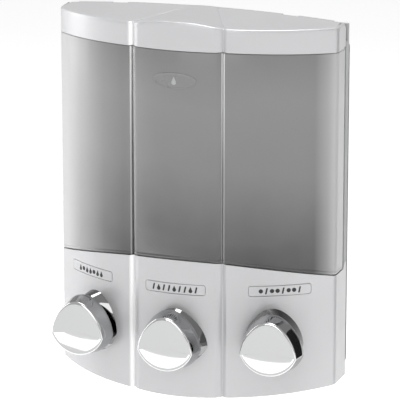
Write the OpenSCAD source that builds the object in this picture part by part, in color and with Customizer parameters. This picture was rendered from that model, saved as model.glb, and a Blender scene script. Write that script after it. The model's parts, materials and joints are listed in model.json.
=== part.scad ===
// Wall mounted dispenser with three pump channels side by side under one lid.
// Millimetres. The wall is the plane y = 0, the room is towards -Y, and +Z is up.
// The origin is the middle of the four wall screws, on the wall's surface.
// Inside the modules, heights are counted from the lowest point of the base.

/* [Body] */
// Width of the body
body_w = 215; // [209:1:221]
// Distance from the wall to the two upright seams
seam_depth = 71.4; // [70:0.2:74]
// Half the width of the middle channel
seam_x = 35; // [34:0.5:37]
// How far the middle lobe bulges out between the seams
mid_bulge = 6.2; // [5:0.2:7]
// How far a side lobe bulges out over its chord
side_bulge = 6.4; // [5.8:0.2:7]
// Distance from the wall to the outer end of a side lobe
end_depth = 29.5; // [28:0.5:32]
// Radius of the two outer corners, seen from above
corner_r = 8; // [6:0.5:9]
// Thickness of the moulded covers
cover_t = 2.4; // [2:0.1:2.6]

/* [Levels] */
// Height of the base at its middle
base_h = 103.7; // [102:0.5:106]
// How much lower the base's top edge is at the sides
base_drop = 14.7; // [12:0.1:16]
// How much higher the base's bottom edge is at the sides
foot_rise = 5.7; // [4:0.1:7]
// Height of the lid's bottom edge at the middle
lid_z = 259.4; // [257:0.2:262]
// Height of the lid's skirt
lid_h = 17; // [16:0.5:18]
// How much lower the lid is at the sides
lid_drop = 3.6; // [3:0.1:4]
// Rise of the middle fan of the lid at its front edge
crest = 4.3; // [3.4:0.1:5]
// How much higher the lid is at its rear edge than at its front
lid_rise = 2.6; // [2:0.1:3]

/* [Buttons] */
// Width of a button
button_w = 47; // [46:0.2:48]
// Height from a button's corners up to its tip
button_up = 28; // [27.2:0.2:29]
// Height from a button's corners down to its lowest point
button_down = 17.4; // [16.8:0.2:18]
// Height of a button's corners above the foot of the base
button_z = 40.4; // [39:0.2:42]
// Depth of a button's shell
cap_depth = 15; // [14:0.5:16]
// Travel of a button
travel = 4.5; // [3:0.5:5]
// Outward turn of the two side buttons
button_turn = 4; // [0:0.5:6]
// Distance from the wall to the rear rim of the middle button
mid_rim = 85; // [84:0.2:87]
// Distance from the wall to the rear rim of a side button
side_rim = 70.8; // [70.4:0.2:72]
// Sideways place of a side button's rim
side_x = 73.3; // [72:0.1:74]

/* [Pump] */
// Bore of the pump barrel
bore_d = 16; // [15:0.5:17]
// Thickness of the barrel's wall
barrel_t = 2.6; // [2.2:0.1:3]
// Diameter of the plunger's rod
rod_d = 8; // [7:0.5:9]
// Diameter of a container's outlet spigot
spigot_d = 13; // [12:0.5:14]

/* [Wall plate] */
// Thickness of the wall plate
plate_t = 3; // [2.6:0.1:3.1]
// Spacing of the wall screws across
screw_dx = 140; // [120:5:150]
// Spacing of the wall screws up and down
screw_dz = 150; // [140:5:160]
// Clearance hole for a wall screw
screw_d = 4.5; // [4:0.5:5]
// Height of the middle of the wall screws above the foot
screw_mid = 140; // [138:1:142]

/* [Hidden] */
$fn = 64;
half_w = body_w / 2;
gap = 0.4;                        // between neighbouring containers
rear = 10.4;                      // depth of the containers' rear wall
chassis_y = plate_t + 0.2;        // depth at which the chassis starts
chassis_t = 2;
pivot = [14.2, 268.6];            // lid axis: depth, height
barrel_r = 4.2;                   // radius of the lid's hinge barrel
pin_d = 3;
lug_x = 66;                       // middle of a hinge lug
lug_w = 11.2;
fascia_in = cover_t + 0.3;        // inset of what sits inside the fascia
axis_up = (button_up - button_down) / 2;
axis_z = button_z + axis_up;      // height of the button and pump axes
label_w = 46.4;
label_h = 7.4;
label_r = 1.6;
label_z = 82.2;
badge_z = 237.5;
port_u = 38;                      // place of the pump's two ports behind the rim
stop_u = 5;                       // how far behind the rim the neck's straight part reaches
neck_out = 2;                     // how far the neck's foot stands out from the button's outline
SIDES = ["left", "middle", "right"];
PIECES = ["container", "container_seal", "pump_body", "inlet_valve", "outlet_valve", "nozzle",
    "button_collar", "button_cap", "plunger", "piston_seal", "return_spring", "label"];

// ---- curves ----

// Radius of an arc from its half chord and its rise
function bow(half, rise) = (half * half + rise * rise) / (2 * rise);
// Points of an arc; the angle is counted from +depth towards +X
function arc(c, r, a0, a1, n) =
    [for (i = [0:n]) let (a = a0 + (a1 - a0) * i / n) c + r * [sin(a), cos(a)]];
function flip(points) = [for (i = [len(points) - 1:-1:0]) [-points[i].x, points[i].y]];

// Middle lobe and side lobe, seen from above, as [x, depth]
mid_r = bow(seam_x, mid_bulge);
mid_c = [0, seam_depth + mid_bulge - mid_r];
seam = [seam_x, seam_depth];
chord = [half_w - 0.5, end_depth] - seam;
side_r = bow(norm(chord) / 2, side_bulge);
side_c = seam + chord / 2 + [chord.y, -chord.x] / norm(chord) * (side_r - side_bulge);
corner_x = half_w - corner_r;
corner_a = asin((corner_x - side_c.x) / (side_r - corner_r));
corner_c = side_c + (side_r - corner_r) * [sin(corner_a), cos(corner_a)];

// Right half of the outline, inset by o, with a V groove of depth v at the seam
function half_plan(o, v, back) = concat(
    arc(mid_c, mid_r - o, 0, asin((seam_x - v) / (mid_r - o)), 6),
    [seam - [0, o + v]],
    arc(side_c, side_r - o, asin((seam_x + v - side_c.x) / (side_r - o)), corner_a, 14),
    arc(corner_c, corner_r - o, corner_a, 90, 6),
    [[half_w - o, back]]);

module plan(o = 0, v = 1, back = rear) {
    half = half_plan(o, v, back);
    scale([1, -1]) polygon(concat(flip(half), [for (i = [1:len(half) - 1]) half[i]]));
}

// Everything below an arch whose top is at height z and which drops by d at the sides
module below(z, d) {
    r = bow(half_w, d);
    translate([0, 1, z - r]) rotate([90, 0, 0]) cylinder(h = 130, r = r, $fn = 540);
}

// Everything above an arch that starts at height z and rises by d at the sides
module above(z, d) {
    r = bow(half_w, d);
    translate([0, 2, z + r]) rotate([90, 0, 0]) cylinder(h = 134, r = r, $fn = 720);
}

module slab(z0, z1, o = 0, v = 1, back = rear) {
    translate([0, 0, z0]) linear_extrude(z1 - z0) plan(o, v, back);
}

// Height of an arch at x
function arch(z, d, x) = z - d * (x / half_w) * (x / half_w);

// ---- button outline: rounded tip above, two corners, a full arc below ----

tip_r = 15.2;
nub_r = 3.7;
flank_r = 34.6;
tip_c = [0, button_up - tip_r];
nub_c = [button_w / 2 - nub_r, 0];
bottom_r = (nub_c.x * nub_c.x + pow(button_down, 2) - nub_r * nub_r) / (2 * (button_down - nub_r));
bottom_c = [0, bottom_r - button_down];
tip_gap = norm(nub_c - tip_c);
flank_a = (pow(flank_r - tip_r, 2) - pow(flank_r - nub_r, 2) + tip_gap * tip_gap) / (2 * tip_gap);
flank_h = sqrt(pow(flank_r - tip_r, 2) - flank_a * flank_a);
tip_dir = (nub_c - tip_c) / tip_gap;
flank_c = tip_c + flank_a * tip_dir + flank_h * [tip_dir.y, -tip_dir.x];
function turn(v) = atan2(v.x, v.y);

// Right half of the outline: inset by o while the corners allow it, scaled down beyond that
function half_pick(o) = o > nub_r - 1 ? scaled_pick(1 - o / (button_w / 2)) : concat(
    arc(tip_c, tip_r - o, 0, turn(tip_c - flank_c), 5),
    arc(flank_c, flank_r - o, turn(tip_c - flank_c), turn(nub_c - flank_c), 6),
    arc(nub_c, nub_r - o, turn(nub_c - flank_c), turn(nub_c - bottom_c), 4),
    arc(bottom_c, bottom_r - o, turn(nub_c - bottom_c), 180, 9));
function scaled_pick(k) = [for (p = half_pick(0)) [k * p.x, 3 + k * (p.y - 3)]];

// A button-shaped block, inset by o, between depths u0 and u1 in front of the rim
module pick(o, u0, u1) {
    half = half_pick(o);
    translate([0, -u0, -axis_up]) rotate([90, 0, 0]) linear_extrude(u1 - u0)
        polygon(concat(half, flip(half)));
}

// ---- placing ----

function side(s) = s == "left" ? -1 : (s == "right" ? 1 : 0);
// Rim middle of channel i (-1, 0, 1) as [x, depth], and a point behind it on the pump axis
function rim(i) = i == 0 ? [0, mid_rim] : [i * side_x, side_rim];
function on_axis(i, u) = rim(i) + u * [sin(i * button_turn), cos(i * button_turn)];
function port(i) = on_axis(i, -port_u);

// Frame of a channel: the rim's middle on the button axis, with -Y pointing out
module channel(i) {
    translate([rim(i).x, -rim(i).y, axis_z]) rotate([0, 0, i * button_turn]) children();
}
// A cylinder on the channel's axis, from u0 to u1 in front of the rim
module rod(d, u0, u1) translate([0, -u0, 0]) rotate([90, 0, 0]) cylinder(h = u1 - u0, d = d);
// An upright cylinder at the channel's port, between two heights
module pipe(i, d, z0, z1) translate([port(i).x, -port(i).y, z0]) cylinder(h = z1 - z0, d = d);
function deck_z(i) = arch(base_h, base_drop, port(i).x);

// One channel's share of the outline, inset by o on every side
module cell(i, o, z0, z1) {
    x0 = i == 0 ? -seam_x + gap + o : seam_x + gap + o;
    x1 = i == 0 ? seam_x - gap - o : half_w - o;
    translate([0, 0, z0]) linear_extrude(z1 - z0) intersection() {
        plan(o, 0.6);
        scale([i < 0 ? -1 : 1, -1]) translate([x0, rear + o]) square([x1 - x0, 120]);
    }
}

// ---- fixed pieces ----

module hook_slots(w, h) for (x = [-80, 80]) for (z = [70, 205])
    translate([x - w / 2, -20, z]) cube([w, 30, h]);

module wall_plate() color([0.22, 0.22, 0.23]) {
    difference() {
        translate([0, 0, 18]) rotate([90, 0, 0]) linear_extrude(plate_t) hull()
            for (x = [-99, 99]) for (z = [0, 236]) translate([x, z]) circle(r = 8);
        for (x = [-0.5, 0.5]) for (z = [-0.5, 0.5])
            translate([x * screw_dx, 1, screw_mid + z * screw_dz]) rotate([90, 0, 0]) {
                cylinder(h = 10, d = screw_d);
                translate([0, 0, plate_t - 0.6]) cylinder(h = 5, d = 9);
            }
    }
    for (x = [-80, 80]) for (z = [72, 207]) translate([x - 6, 0, z]) {
        translate([0, -7.6, 0]) cube([12, 5.6, 3]);
        translate([0, -7.6, 0]) cube([12, 2, 10]);
    }
}

module chassis() color([0.55, 0.56, 0.57]) difference() {
    union() {
        translate([-half_w + 3, -chassis_y - chassis_t, 14]) cube([body_w - 6, chassis_t, 248]);
        for (m = [0, 1]) mirror([m, 0, 0]) {
            translate([half_w - 3, -9.8, 94]) cube([3, 9.8 - chassis_y, 166]);
            translate([half_w - 8, -7, 258.7]) cube([8, 7 - chassis_y, 13.7]);
            translate([half_w - 8, -7, 258]) cube([5, 7 - chassis_y, 1]);
            translate([lug_x - lug_w / 2, 0, 0]) {
                translate([0, -pivot.x, 258]) cube([lug_w, pivot.x - chassis_y, pivot.y - 258]);
                translate([0, -pivot.x, pivot.y]) rotate([0, 90, 0]) cylinder(h = lug_w, r = 3.9);
            }
        }
    }
    hook_slots(14, 15);
    for (m = [0, 1]) mirror([m, 0, 0])
        translate([lug_x - 10, -pivot.x, pivot.y]) rotate([0, 90, 0]) cylinder(h = 20, d = pin_d + 0.04);
    for (m = [0, 1]) mirror([m, 0, 0])
        translate([lug_x - 8, -20, 250]) cube([16, 20 - chassis_y - chassis_t, 12.6]);
    for (x = [-58, 0, 58]) translate([x, 0, 84]) rotate([90, 0, 0]) cylinder(h = 30, d = 3.04);
}

// Shelf that carries the containers and the pumps
module pump_deck() color([0.7, 0.71, 0.72]) difference() {
    union() {
        intersection() {
            difference() {
                below(base_h - 0.3, base_drop);
                translate([0, 5, -2.6]) below(base_h - 0.3, base_drop);
            }
            slab(60, base_h + 5, fascia_in, 1, 6);
        }
        intersection() {
            translate([-72, -8.4, 78]) cube([144, 2.4, 30]);
            below(base_h - 0.3, base_drop);
        }
        for (i = [-1:1]) pipe(i, spigot_d + 9, deck_z(i) - 16, deck_z(i) - 2);
    }
    for (i = [-1:1]) {
        pipe(i, spigot_d + 4.1, deck_z(i) - 11, deck_z(i) + 5);
        pipe(i, 10.1, deck_z(i) - 20, deck_z(i));
    }
    for (x = [-58, 0, 58]) translate([x, 0, 84]) rotate([90, 0, 0]) cylinder(h = 30, d = 3.2);
}

module deck_screws() color("silver") for (x = [-58, 0, 58]) translate([x, -8.45, 84]) {
    rotate([90, 0, 0]) cylinder(h = 2.2, d = 6);
    translate([0, 4.6, 0]) rotate([90, 0, 0]) cylinder(h = 5, d = 3);
}

// Where the floor's two screws go
module floor_screw_places() for (m = [0, 1]) mirror([m, 0, 0]) translate([half_w - 12, -22, 0]) children();

module base_fascia() color([0.83, 0.83, 0.84]) difference() {
    union() {
        intersection() {
            difference() {
                slab(-1, base_h + 1, 0, 1, 3.6);
                slab(-2, base_h + 2, cover_t, 1, 2);
            }
            union() {
                below(base_h, base_drop);
                for (m = [0, 1]) mirror([m, 0, 0]) translate([half_w - 5, -9.8, 50]) cube([5, 7, 43.6]);
            }
            above(0, foot_rise);
        }
        intersection() {
            floor_screw_places() translate([-4, -4, 12.7]) cube([14, 8, 14]);
            slab(0, 60, cover_t / 2, 1, 2);
        }
    }
    for (i = [-1:1]) channel(i) rod(20, -40, 10);
    for (i = [-1:1]) label_strip(i, -1, 0.85, 0.1);
    floor_screw_places() cylinder(h = 24, d = 3.04);
}

module base_floor() color([0.8, 0.8, 0.81]) difference() {
    intersection() {
        above(5.5, foot_rise - 1);
        slab(-1, 14, fascia_in, 1, 6);
    }
    translate([0, 5, 0]) above(8, foot_rise - 1);
    for (i = [-1:1]) pipe(i, 10, -5, 40);
    floor_screw_places() cylinder(h = 60, d = 3.2, center = true);
}

module floor_screws() color("silver") floor_screw_places() {
    translate([0, 0, 6.6]) cylinder(h = 2.2, d = 6);
    translate([0, 0, 8.6]) cylinder(h = 13, d = 3);
}

// Curved strip on a lobe, between insets o0 and o1, grown by g around its edge
module label_strip(i, o0, o1, g) {
    x = i == 0 ? 0 : 74.1;
    a = i == 0 ? 0 : asin((x - side_c.x) / side_r);
    depth = i == 0 ? mid_c.y + mid_r : side_c.y + side_r * cos(a);
    w = label_w + 2 * g;
    h = label_h + 2 * g;
    intersection() {
        difference() {
            slab(60, 100, o0, 1);
            slab(59, 101, o1, 1);
        }
        translate([i * x, -depth, label_z]) rotate([90, 0, i * a]) linear_extrude(20, center = true)
            union() {
                square([w - 2 * label_r, h], center = true);
                square([w, h - 2 * label_r], center = true);
                for (sx = [-1, 1]) for (sz = [-1, 1])
                    translate([sx * (w / 2 - label_r), sz * (h / 2 - label_r)]) circle(r = label_r);
            }
    }
}

module badge() color([0.5, 0.5, 0.52]) intersection() {
    difference() {
        slab(200, 250, -0.6, 1);
        slab(199, 251, -0.03, 1);
    }
    translate([0, -60, badge_z]) rotate([90, 0, 0]) linear_extrude(40)
        polygon([for (a = [0:7.5:352.5]) [17.4 * cos(a), 6 * sin(a)]]);
}

// ---- lid ----

// The lid's outer form, inset by o all round and from above
module lid_form(o) {
    crest_r = bow(seam_x, crest);
    tilt = atan((crest - 0.75 - lid_rise) / (seam_depth - pivot.x));
    intersection() {
        slab(lid_z - 10, lid_z + 40, o, 1, pivot.x);
        union() {
            lid_top(o);
            translate([0, -seam_depth, lid_z + lid_h - 0.4 + crest - o]) rotate([-tilt, 0, 0])
                translate([0, 90, -crest_r]) rotate([90, 0, 0]) cylinder(h = 130, r = crest_r, $fn = 360);
        }
    }
}

// Everything under the lid's arched top, which climbs towards the rear
module lid_top(o) {
    r = bow(half_w, lid_drop + 0.6);
    climb = atan(lid_rise / (seam_depth + mid_bulge - 11.2));
    translate([0, -11.2, lid_z + lid_h + lid_rise - o]) rotate([climb, 0, 0])
        translate([0, 20, -r]) rotate([90, 0, 0]) cylinder(h = 130, r = r, $fn = 540);
}

module lid() color([0.81, 0.81, 0.82]) difference() {
    union() {
        difference() {
            lid_form(0);
            difference() {
                lid_form(cover_t);
                translate([-half_w, -pivot.x - 5, 0]) cube([body_w, 10, 400]);
            }
            below(lid_z, lid_drop);
            translate([-half_w + cover_t, -pivot.x - 6, 0]) cube([body_w - 2 * cover_t, 10, pivot.y]);
        }
        translate([-half_w, -pivot.x, pivot.y]) rotate([0, 90, 0]) cylinder(h = body_w, r = barrel_r);
        for (m = [0, 1]) mirror([m, 0, 0])
            translate([half_w - cover_t, -pivot.x - 1, 256.6]) cube([cover_t, 4.6, pivot.y - 256.6]);
        intersection() {
            translate([-98.8, -pivot.x - 0.5, pivot.y]) cube([197.6, 3.5, 20]);
            lid_top(0);
        }
    }
    for (m = [0, 1]) mirror([m, 0, 0]) {
        translate([lug_x - lug_w / 2 - 0.3, -pivot.x - 4.8, 250]) cube([lug_w + 0.6, 30, 23.4]);
        translate([lug_x - lug_w / 2 - 0.3, -pivot.x - 0.4, 250]) cube([lug_w + 0.6, 30, 40]);
        translate([lug_x - 16.4, -pivot.x, pivot.y]) rotate([0, 90, 0]) cylinder(h = 32.8, d = pin_d + 0.1);
    }
}

module hinge_pins() color("silver") for (m = [0, 1]) mirror([m, 0, 0])
    translate([lug_x - 16, -pivot.x, pivot.y]) rotate([0, 90, 0]) cylinder(h = 32, d = pin_d);

// ---- one channel, i = -1, 0 or 1 ----

module container(i) color([0.62, 0.62, 0.63]) difference() {
    union() {
        difference() {
            intersection() {
                cell(i, 0, 80, lid_z + 1);
                below(lid_z - 0.4, lid_drop);
            }
            below(base_h + 0.1, base_drop);
        }
        intersection() {
            cell(i, cover_t + 0.5, lid_z - 8, lid_z + 8);
            below(lid_z + 3.6, lid_drop);
        }
        pipe(i, spigot_d, deck_z(i) - 9.5, deck_z(i) + 1);
    }
    difference() {
        cell(i, 2, 80, lid_z - 5);
        below(base_h + 2.6, base_drop);
    }
    cell(i, cover_t + 2, lid_z - 12, lid_z + 9);
    pipe(i, spigot_d - 5, deck_z(i) - 20, deck_z(i) + 10);
}

module container_seal(i) color([0.2, 0.2, 0.2]) difference() {
    pipe(i, spigot_d + 4, deck_z(i) - 9, deck_z(i) - 4);
    pipe(i, spigot_d + 0.1, deck_z(i) - 20, deck_z(i));
}

module pump_body(i) color([0.85, 0.85, 0.86]) difference() {
    union() {
        channel(i) rod(bore_d + 2 * barrel_t, -44.6, -21.6);
        pipe(i, 10, axis_z, deck_z(i) - 11.1);
        pipe(i, 14, axis_z - bore_d / 2 - barrel_t - 5, axis_z);
    }
    channel(i) rod(bore_d, -42.4, -23.6);
    channel(i) rod(rod_d + 0.6, -24, 0);
    pipe(i, 6, axis_z, deck_z(i));
    pipe(i, 8.2, axis_z + bore_d / 2 + 2.2, deck_z(i) - 14);
    pipe(i, 8.1, axis_z - 30, axis_z - bore_d / 2 - 1.6);
    pipe(i, 4.6, axis_z - 30, axis_z);
}

// Umbrella valve that lets soap into the pump and not back
module inlet_valve(i) color([0.9, 0.9, 0.92]) {
    pipe(i, 7.6, axis_z + bore_d / 2 + 2.3, axis_z + bore_d / 2 + 3.6);
    pipe(i, 3, axis_z + bore_d / 2 + 3.5, axis_z + bore_d / 2 + 8);
}

// Duckbill valve on top of the nozzle
module outlet_valve(i) color([0.9, 0.9, 0.92])
    translate([port(i).x, -port(i).y, 0]) {
        translate([0, 0, axis_z - bore_d / 2 - 3.7]) cylinder(h = 2, d = 8);
        translate([0, 0, axis_z - bore_d / 2 - 9.6]) cylinder(h = 6, d1 = 2.4, d2 = 5);
    }

module nozzle(i) color([0.5, 0.5, 0.5]) difference() {
    union() {
        pipe(i, 8, 3, axis_z - bore_d / 2 - 3.8);
        pipe(i, 13, axis_z - bore_d / 2 - 13, axis_z - bore_d / 2 - barrel_t - 5.1);
    }
    pipe(i, 4, 0, axis_z);
    pipe(i, 6, axis_z - bore_d / 2 - 10.2, axis_z);
}

// Neck between the fascia and the button, leaning square to its lobe
module button_collar(i) color([0.78, 0.78, 0.8]) difference() {
    union() {
        channel(i) pick(3.6, -stop_u, 2);
        hull() {
            channel(i) pick(3.75, -stop_u + 0.2, -stop_u + 0.3);
            a = i * turn(rim(1) - side_c);
            deep = i == 0 ? mid_rim - mid_c.y - mid_r : norm(rim(1) - side_c) - side_r;
            base = rim(i) - (deep + 4) * [sin(a), cos(a)];
            translate([base.x, -base.y, axis_z]) rotate([0, 0, a]) pick(-neck_out, -0.1, 0);
        }
    }
    slab(0, base_h, -0.05, 0);
    channel(i) rod(rod_d + 0.12, -40, 20);
}

module button_cap(i) color([0.75, 0.76, 0.78]) channel(i) difference() {
    union() {
        difference() {
            union() {
                pick(0, 0, cap_depth - 1.2);
                pick(1, cap_depth - 1.3, cap_depth);
            }
            pick(1.6, -1, cap_depth - 2.4);
        }
        rod(rod_d + 5, cap_depth - 6.4, cap_depth - 2);
    }
    rod(rod_d - 2, cap_depth - 12, cap_depth - 3.2);
}

module plunger(i) color([0.86, 0.86, 0.87]) channel(i) difference() {
    union() {
        rod(rod_d, -28, cap_depth - 6.45);
        rod(rod_d - 2.1, cap_depth - 6.6, cap_depth - 3.3);
        rod(bore_d - 0.1, -30.2, -24.2);
    }
    difference() {
        rod(bore_d + 1, -28.2, -26.2);
        rod(bore_d - 3, -29, -25);
    }
}

module piston_seal(i) color([0.15, 0.15, 0.15]) channel(i) difference() {
    rod(bore_d - 0.06, -28.15, -26.25);
    rod(bore_d - 2.9, -29, -25);
}

// Compression spring behind the piston: a round wire cut square to the coil's axis, then twisted up
module return_spring(i) {
    turns = 3.5;
    length = 11.4;
    wire_r = 0.8;
    spread = wire_r * turns / length * 360;
    color("silver") channel(i) translate([0, 30.6, 0]) rotate([-90, 0, 0])
        linear_extrude(height = length, twist = -360 * turns, slices = 12 * turns, $fn = 8)
            polygon([for (t = [0:45:315]) let (r = 5.6 + wire_r * cos(t), a = spread * sin(t)) r * [cos(a), sin(a)]]);
}

module label(i) color([0.85, 0.85, 0.86]) label_strip(i, -0.35, 0.8, 0);

module piece(name, i) {
    if (name == "container") container(i);
    if (name == "container_seal") container_seal(i);
    if (name == "pump_body") pump_body(i);
    if (name == "inlet_valve") inlet_valve(i);
    if (name == "outlet_valve") outlet_valve(i);
    if (name == "nozzle") nozzle(i);
    if (name == "button_collar") button_collar(i);
    if (name == "button_cap") button_cap(i);
    if (name == "plunger") plunger(i);
    if (name == "piston_seal") piston_seal(i);
    if (name == "return_spring") return_spring(i);
    if (name == "label") label(i);
}

translate([0, 0, -screw_mid]) {
    wall_plate();
    chassis();
    pump_deck();
    base_fascia();
    base_floor();
    lid();
    hinge_pins();
    badge();
    deck_screws();
    floor_screws();
    for (p = PIECES) for (s = SIDES)
        piece(p, side(s));
}
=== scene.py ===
"""Wall mounted dispenser with three frosted containers, a silver base and lid, and chrome push buttons.

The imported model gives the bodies, the fixed inner parts and every size. This script replaces the parts
that show with finely shaped meshes, gives all parts their materials, and sets the light and the camera.
Lengths are written in millimetres and turned into metres by MM. Depth is counted from the wall.
"""

import json
import math

import bmesh
import bpy
from mathutils import Matrix, Vector


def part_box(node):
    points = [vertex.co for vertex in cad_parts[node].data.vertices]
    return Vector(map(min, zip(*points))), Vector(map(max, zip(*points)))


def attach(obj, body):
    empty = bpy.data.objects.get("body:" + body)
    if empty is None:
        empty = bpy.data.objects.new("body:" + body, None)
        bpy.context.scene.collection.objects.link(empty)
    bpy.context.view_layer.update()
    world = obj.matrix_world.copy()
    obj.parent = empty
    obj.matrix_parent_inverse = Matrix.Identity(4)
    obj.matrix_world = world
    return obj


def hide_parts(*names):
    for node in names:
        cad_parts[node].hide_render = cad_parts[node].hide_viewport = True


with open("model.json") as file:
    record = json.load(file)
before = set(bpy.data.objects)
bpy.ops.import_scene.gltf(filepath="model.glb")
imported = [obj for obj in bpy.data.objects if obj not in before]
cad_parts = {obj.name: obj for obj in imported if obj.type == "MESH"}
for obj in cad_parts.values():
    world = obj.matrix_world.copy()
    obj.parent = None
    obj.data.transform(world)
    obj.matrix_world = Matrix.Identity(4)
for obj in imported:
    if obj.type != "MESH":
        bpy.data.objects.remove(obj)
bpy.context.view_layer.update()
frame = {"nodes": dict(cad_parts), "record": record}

MM = 0.001
SIDES = {"left": -1, "middle": 0, "right": 1}

# ---------------------------------------------------------------- sizes, taken from the frame


def low(node):
    """Lowest corner of a node's box in millimetres."""
    return [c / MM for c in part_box(node)[0]]


def high(node):
    """Highest corner of a node's box in millimetres."""
    return [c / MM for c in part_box(node)[1]]


FOOT = low("base_fascia")[2]                 # height of the base's lowest point
HALF_W = high("base_fascia")[0]              # half the body's width
SEAM_X = high("container_middle")[0] + 0.4   # half the middle lobe's width
SEAM_DEPTH = 71.4
SEAM_SOFT, SEAM_TIGHT, SEAM_DEEP = 6.0, 2.6, 2.4   # widths of a seam's two edges, and its depth
MID_BULGE = -low("base_fascia")[1] - SEAM_DEPTH
SIDE_BULGE = 6.4
END_DEPTH = 29.5
CORNER_R = 8.0
COVER_T = 2.4
BASE_H, BASE_DROP, FOOT_RISE = 103.7, 14.7, 5.7
LID_Z, LID_H, LID_DROP, CREST, LID_RISE = 259.4, 17.0, 3.6, 4.3, 2.6
LID_TOP = high("lid")[2] - FOOT - 0.02
REAR = 10.4                                  # depth of the containers' rear wall
PIVOT_DEPTH, PIVOT_Z, BARREL_R = 14.2, 268.6, 4.2
LABEL_W, LABEL_H, LABEL_Z = 46.4, 7.4, 82.2
LABEL_X = 74.1                               # of the two side labels' middles
BADGE_Z = 237.5
BUTTON_UP, BUTTON_DOWN, BUTTON_W = 28.0, 17.4, 47.0
CAP_DEPTH = 15.0
CAP_TAPER = 2.2                              # how much a cap narrows towards its face, on each side
NECK_INSET, NECK_FOOT = 3.2, 1.9             # neck inside the cap's outline, and its foot outside it
BUTTON_TURN = 4.0
AXIS_UP = (BUTTON_UP - BUTTON_DOWN) / 2
AXIS_Z = (low("button_cap_middle")[2] + high("button_cap_middle")[2]) / 2 - FOOT
MID_RIM = -high("button_cap_middle")[1]
SIDE_RIM = (73.3, 70.8)


# ---------------------------------------------------------------- camera, made first

def make_camera():
    """A long lens at the photograph's angle, a little right of the middle and above."""
    azimuth, elevation, distance = math.radians(20.2), math.radians(15.51), 2.361
    aim = Vector((0, -0.045, 0.135 + FOOT * MM))
    out = Vector((math.sin(azimuth) * math.cos(elevation), -math.cos(azimuth) * math.cos(elevation),
                  math.sin(elevation)))
    data = bpy.data.cameras.new("camera")
    data.sensor_width = 36
    data.lens = 290.3
    data.clip_end = 60
    camera = bpy.data.objects.new("camera", data)
    bpy.context.scene.collection.objects.link(camera)
    camera.location = aim + distance * out
    yaw, pitch = azimuth + math.radians(-0.19), elevation + math.radians(-0.13)
    forward = -Vector((math.sin(yaw) * math.cos(pitch), -math.cos(yaw) * math.cos(pitch), math.sin(pitch)))
    camera.rotation_euler = forward.to_track_quat("-Z", "Y").to_euler()
    bpy.context.scene.camera = camera


make_camera()


# ---------------------------------------------------------------- curves

def bow(half, rise):
    """Radius of an arc from its half chord and its rise."""
    return (half * half + rise * rise) / (2 * rise)


def arc(centre, radius, start, end, steps):
    """Points of an arc; angles in degrees from +depth towards +X."""
    angles = [math.radians(start + (end - start) * i / steps) for i in range(steps + 1)]
    return [(centre[0] + radius * math.sin(a), centre[1] + radius * math.cos(a)) for a in angles]


def arch(z, drop, x):
    """Height at x of an arch that is z high at the middle and drops by drop at the sides."""
    return z - drop * (x / HALF_W) ** 2


MID_R = bow(SEAM_X, MID_BULGE)
MID_C = (0.0, SEAM_DEPTH + MID_BULGE - MID_R)
_chord = (HALF_W - 0.5 - SEAM_X, END_DEPTH - SEAM_DEPTH)
_span = math.hypot(*_chord)
SIDE_R = bow(_span / 2, SIDE_BULGE)
SIDE_C = (SEAM_X + _chord[0] / 2 + _chord[1] / _span * (SIDE_R - SIDE_BULGE),
          SEAM_DEPTH + _chord[1] / 2 - _chord[0] / _span * (SIDE_R - SIDE_BULGE))
_corner_sin = (HALF_W - CORNER_R - SIDE_C[0]) / (SIDE_R - CORNER_R)
CORNER_A = math.degrees(math.asin(_corner_sin))
CORNER_C = (HALF_W - CORNER_R, SIDE_C[1] + (SIDE_R - CORNER_R) * math.cos(math.radians(CORNER_A)))


def lobe_depth(x):
    """Depth of the front surface at x."""
    if abs(x) <= SEAM_X:
        return MID_C[1] + math.sqrt(MID_R ** 2 - x * x)
    return SIDE_C[1] + math.sqrt(SIDE_R ** 2 - (abs(x) - SIDE_C[0]) ** 2)


def seam_inset(x):
    """How far the surface turns in at a seam: a wide soft edge on the middle lobe, a tight one beside it."""
    away = SEAM_X - abs(x)
    reach = SEAM_SOFT if away >= 0 else SEAM_TIGHT
    if abs(away) >= reach:
        return 0.0
    k = 1 - abs(away) / reach
    return SEAM_DEEP * (0.75 * k ** 1.25 + 0.25 * k ** 5) if away >= 0 else SEAM_DEEP * k ** 1.2


def seam_stations():
    """Values of x across the right half of the front, dense at the seam."""
    near = [7, 6, 5.2, 4.4, 3.7, 3.0, 2.4, 1.8, 1.35, 0.95, 0.6, 0.3, 0.1]
    xs = [SEAM_X * i / 16 for i in range(14)]
    xs += [SEAM_X - d for d in near if SEAM_X - d > xs[-1] + 0.3]
    xs += [SEAM_X + d for d in (0.1, 0.4, 0.8, 1.2, 1.6, 2.0, 2.3, 2.6, 3.0)]
    last = CORNER_C[0] + CORNER_R * math.sin(math.radians(CORNER_A))
    xs += [xs[-1] + (last - xs[-1]) * i / 34 for i in range(1, 35)]
    return xs


def front_path(inset=0.0, seams=True):
    """The front outline from the left corner's end to the right one's, as (x, depth), inset by inset."""
    half = []
    for x in seam_stations():
        c, r = (MID_C, MID_R) if x <= SEAM_X else (SIDE_C, SIDE_R)
        a = math.asin((x - c[0]) / r)
        o = inset + (seam_inset(x) if seams else 0.0)
        half.append((c[0] + (r - o) * math.sin(a), c[1] + (r - o) * math.cos(a)))
    half += arc(CORNER_C, CORNER_R - inset, CORNER_A, 90, 12)[1:]
    return [(-x, d) for x, d in reversed(half[1:])] + half


def side_steps(back, steps):
    """Depths along a side wall from the corner's end to back."""
    return [CORNER_C[1] + (back - CORNER_C[1]) * i / steps for i in range(1, steps + 1)]


def whole_path(back, inset=0.0, steps=8, seams=True):
    """The outline with both side walls, from the left rear to the right rear."""
    sides = side_steps(back, steps)
    left = [(-HALF_W + inset, d) for d in reversed(sides)]
    right = [(HALF_W - inset, d) for d in sides]
    return left + front_path(inset, seams) + right


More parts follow.
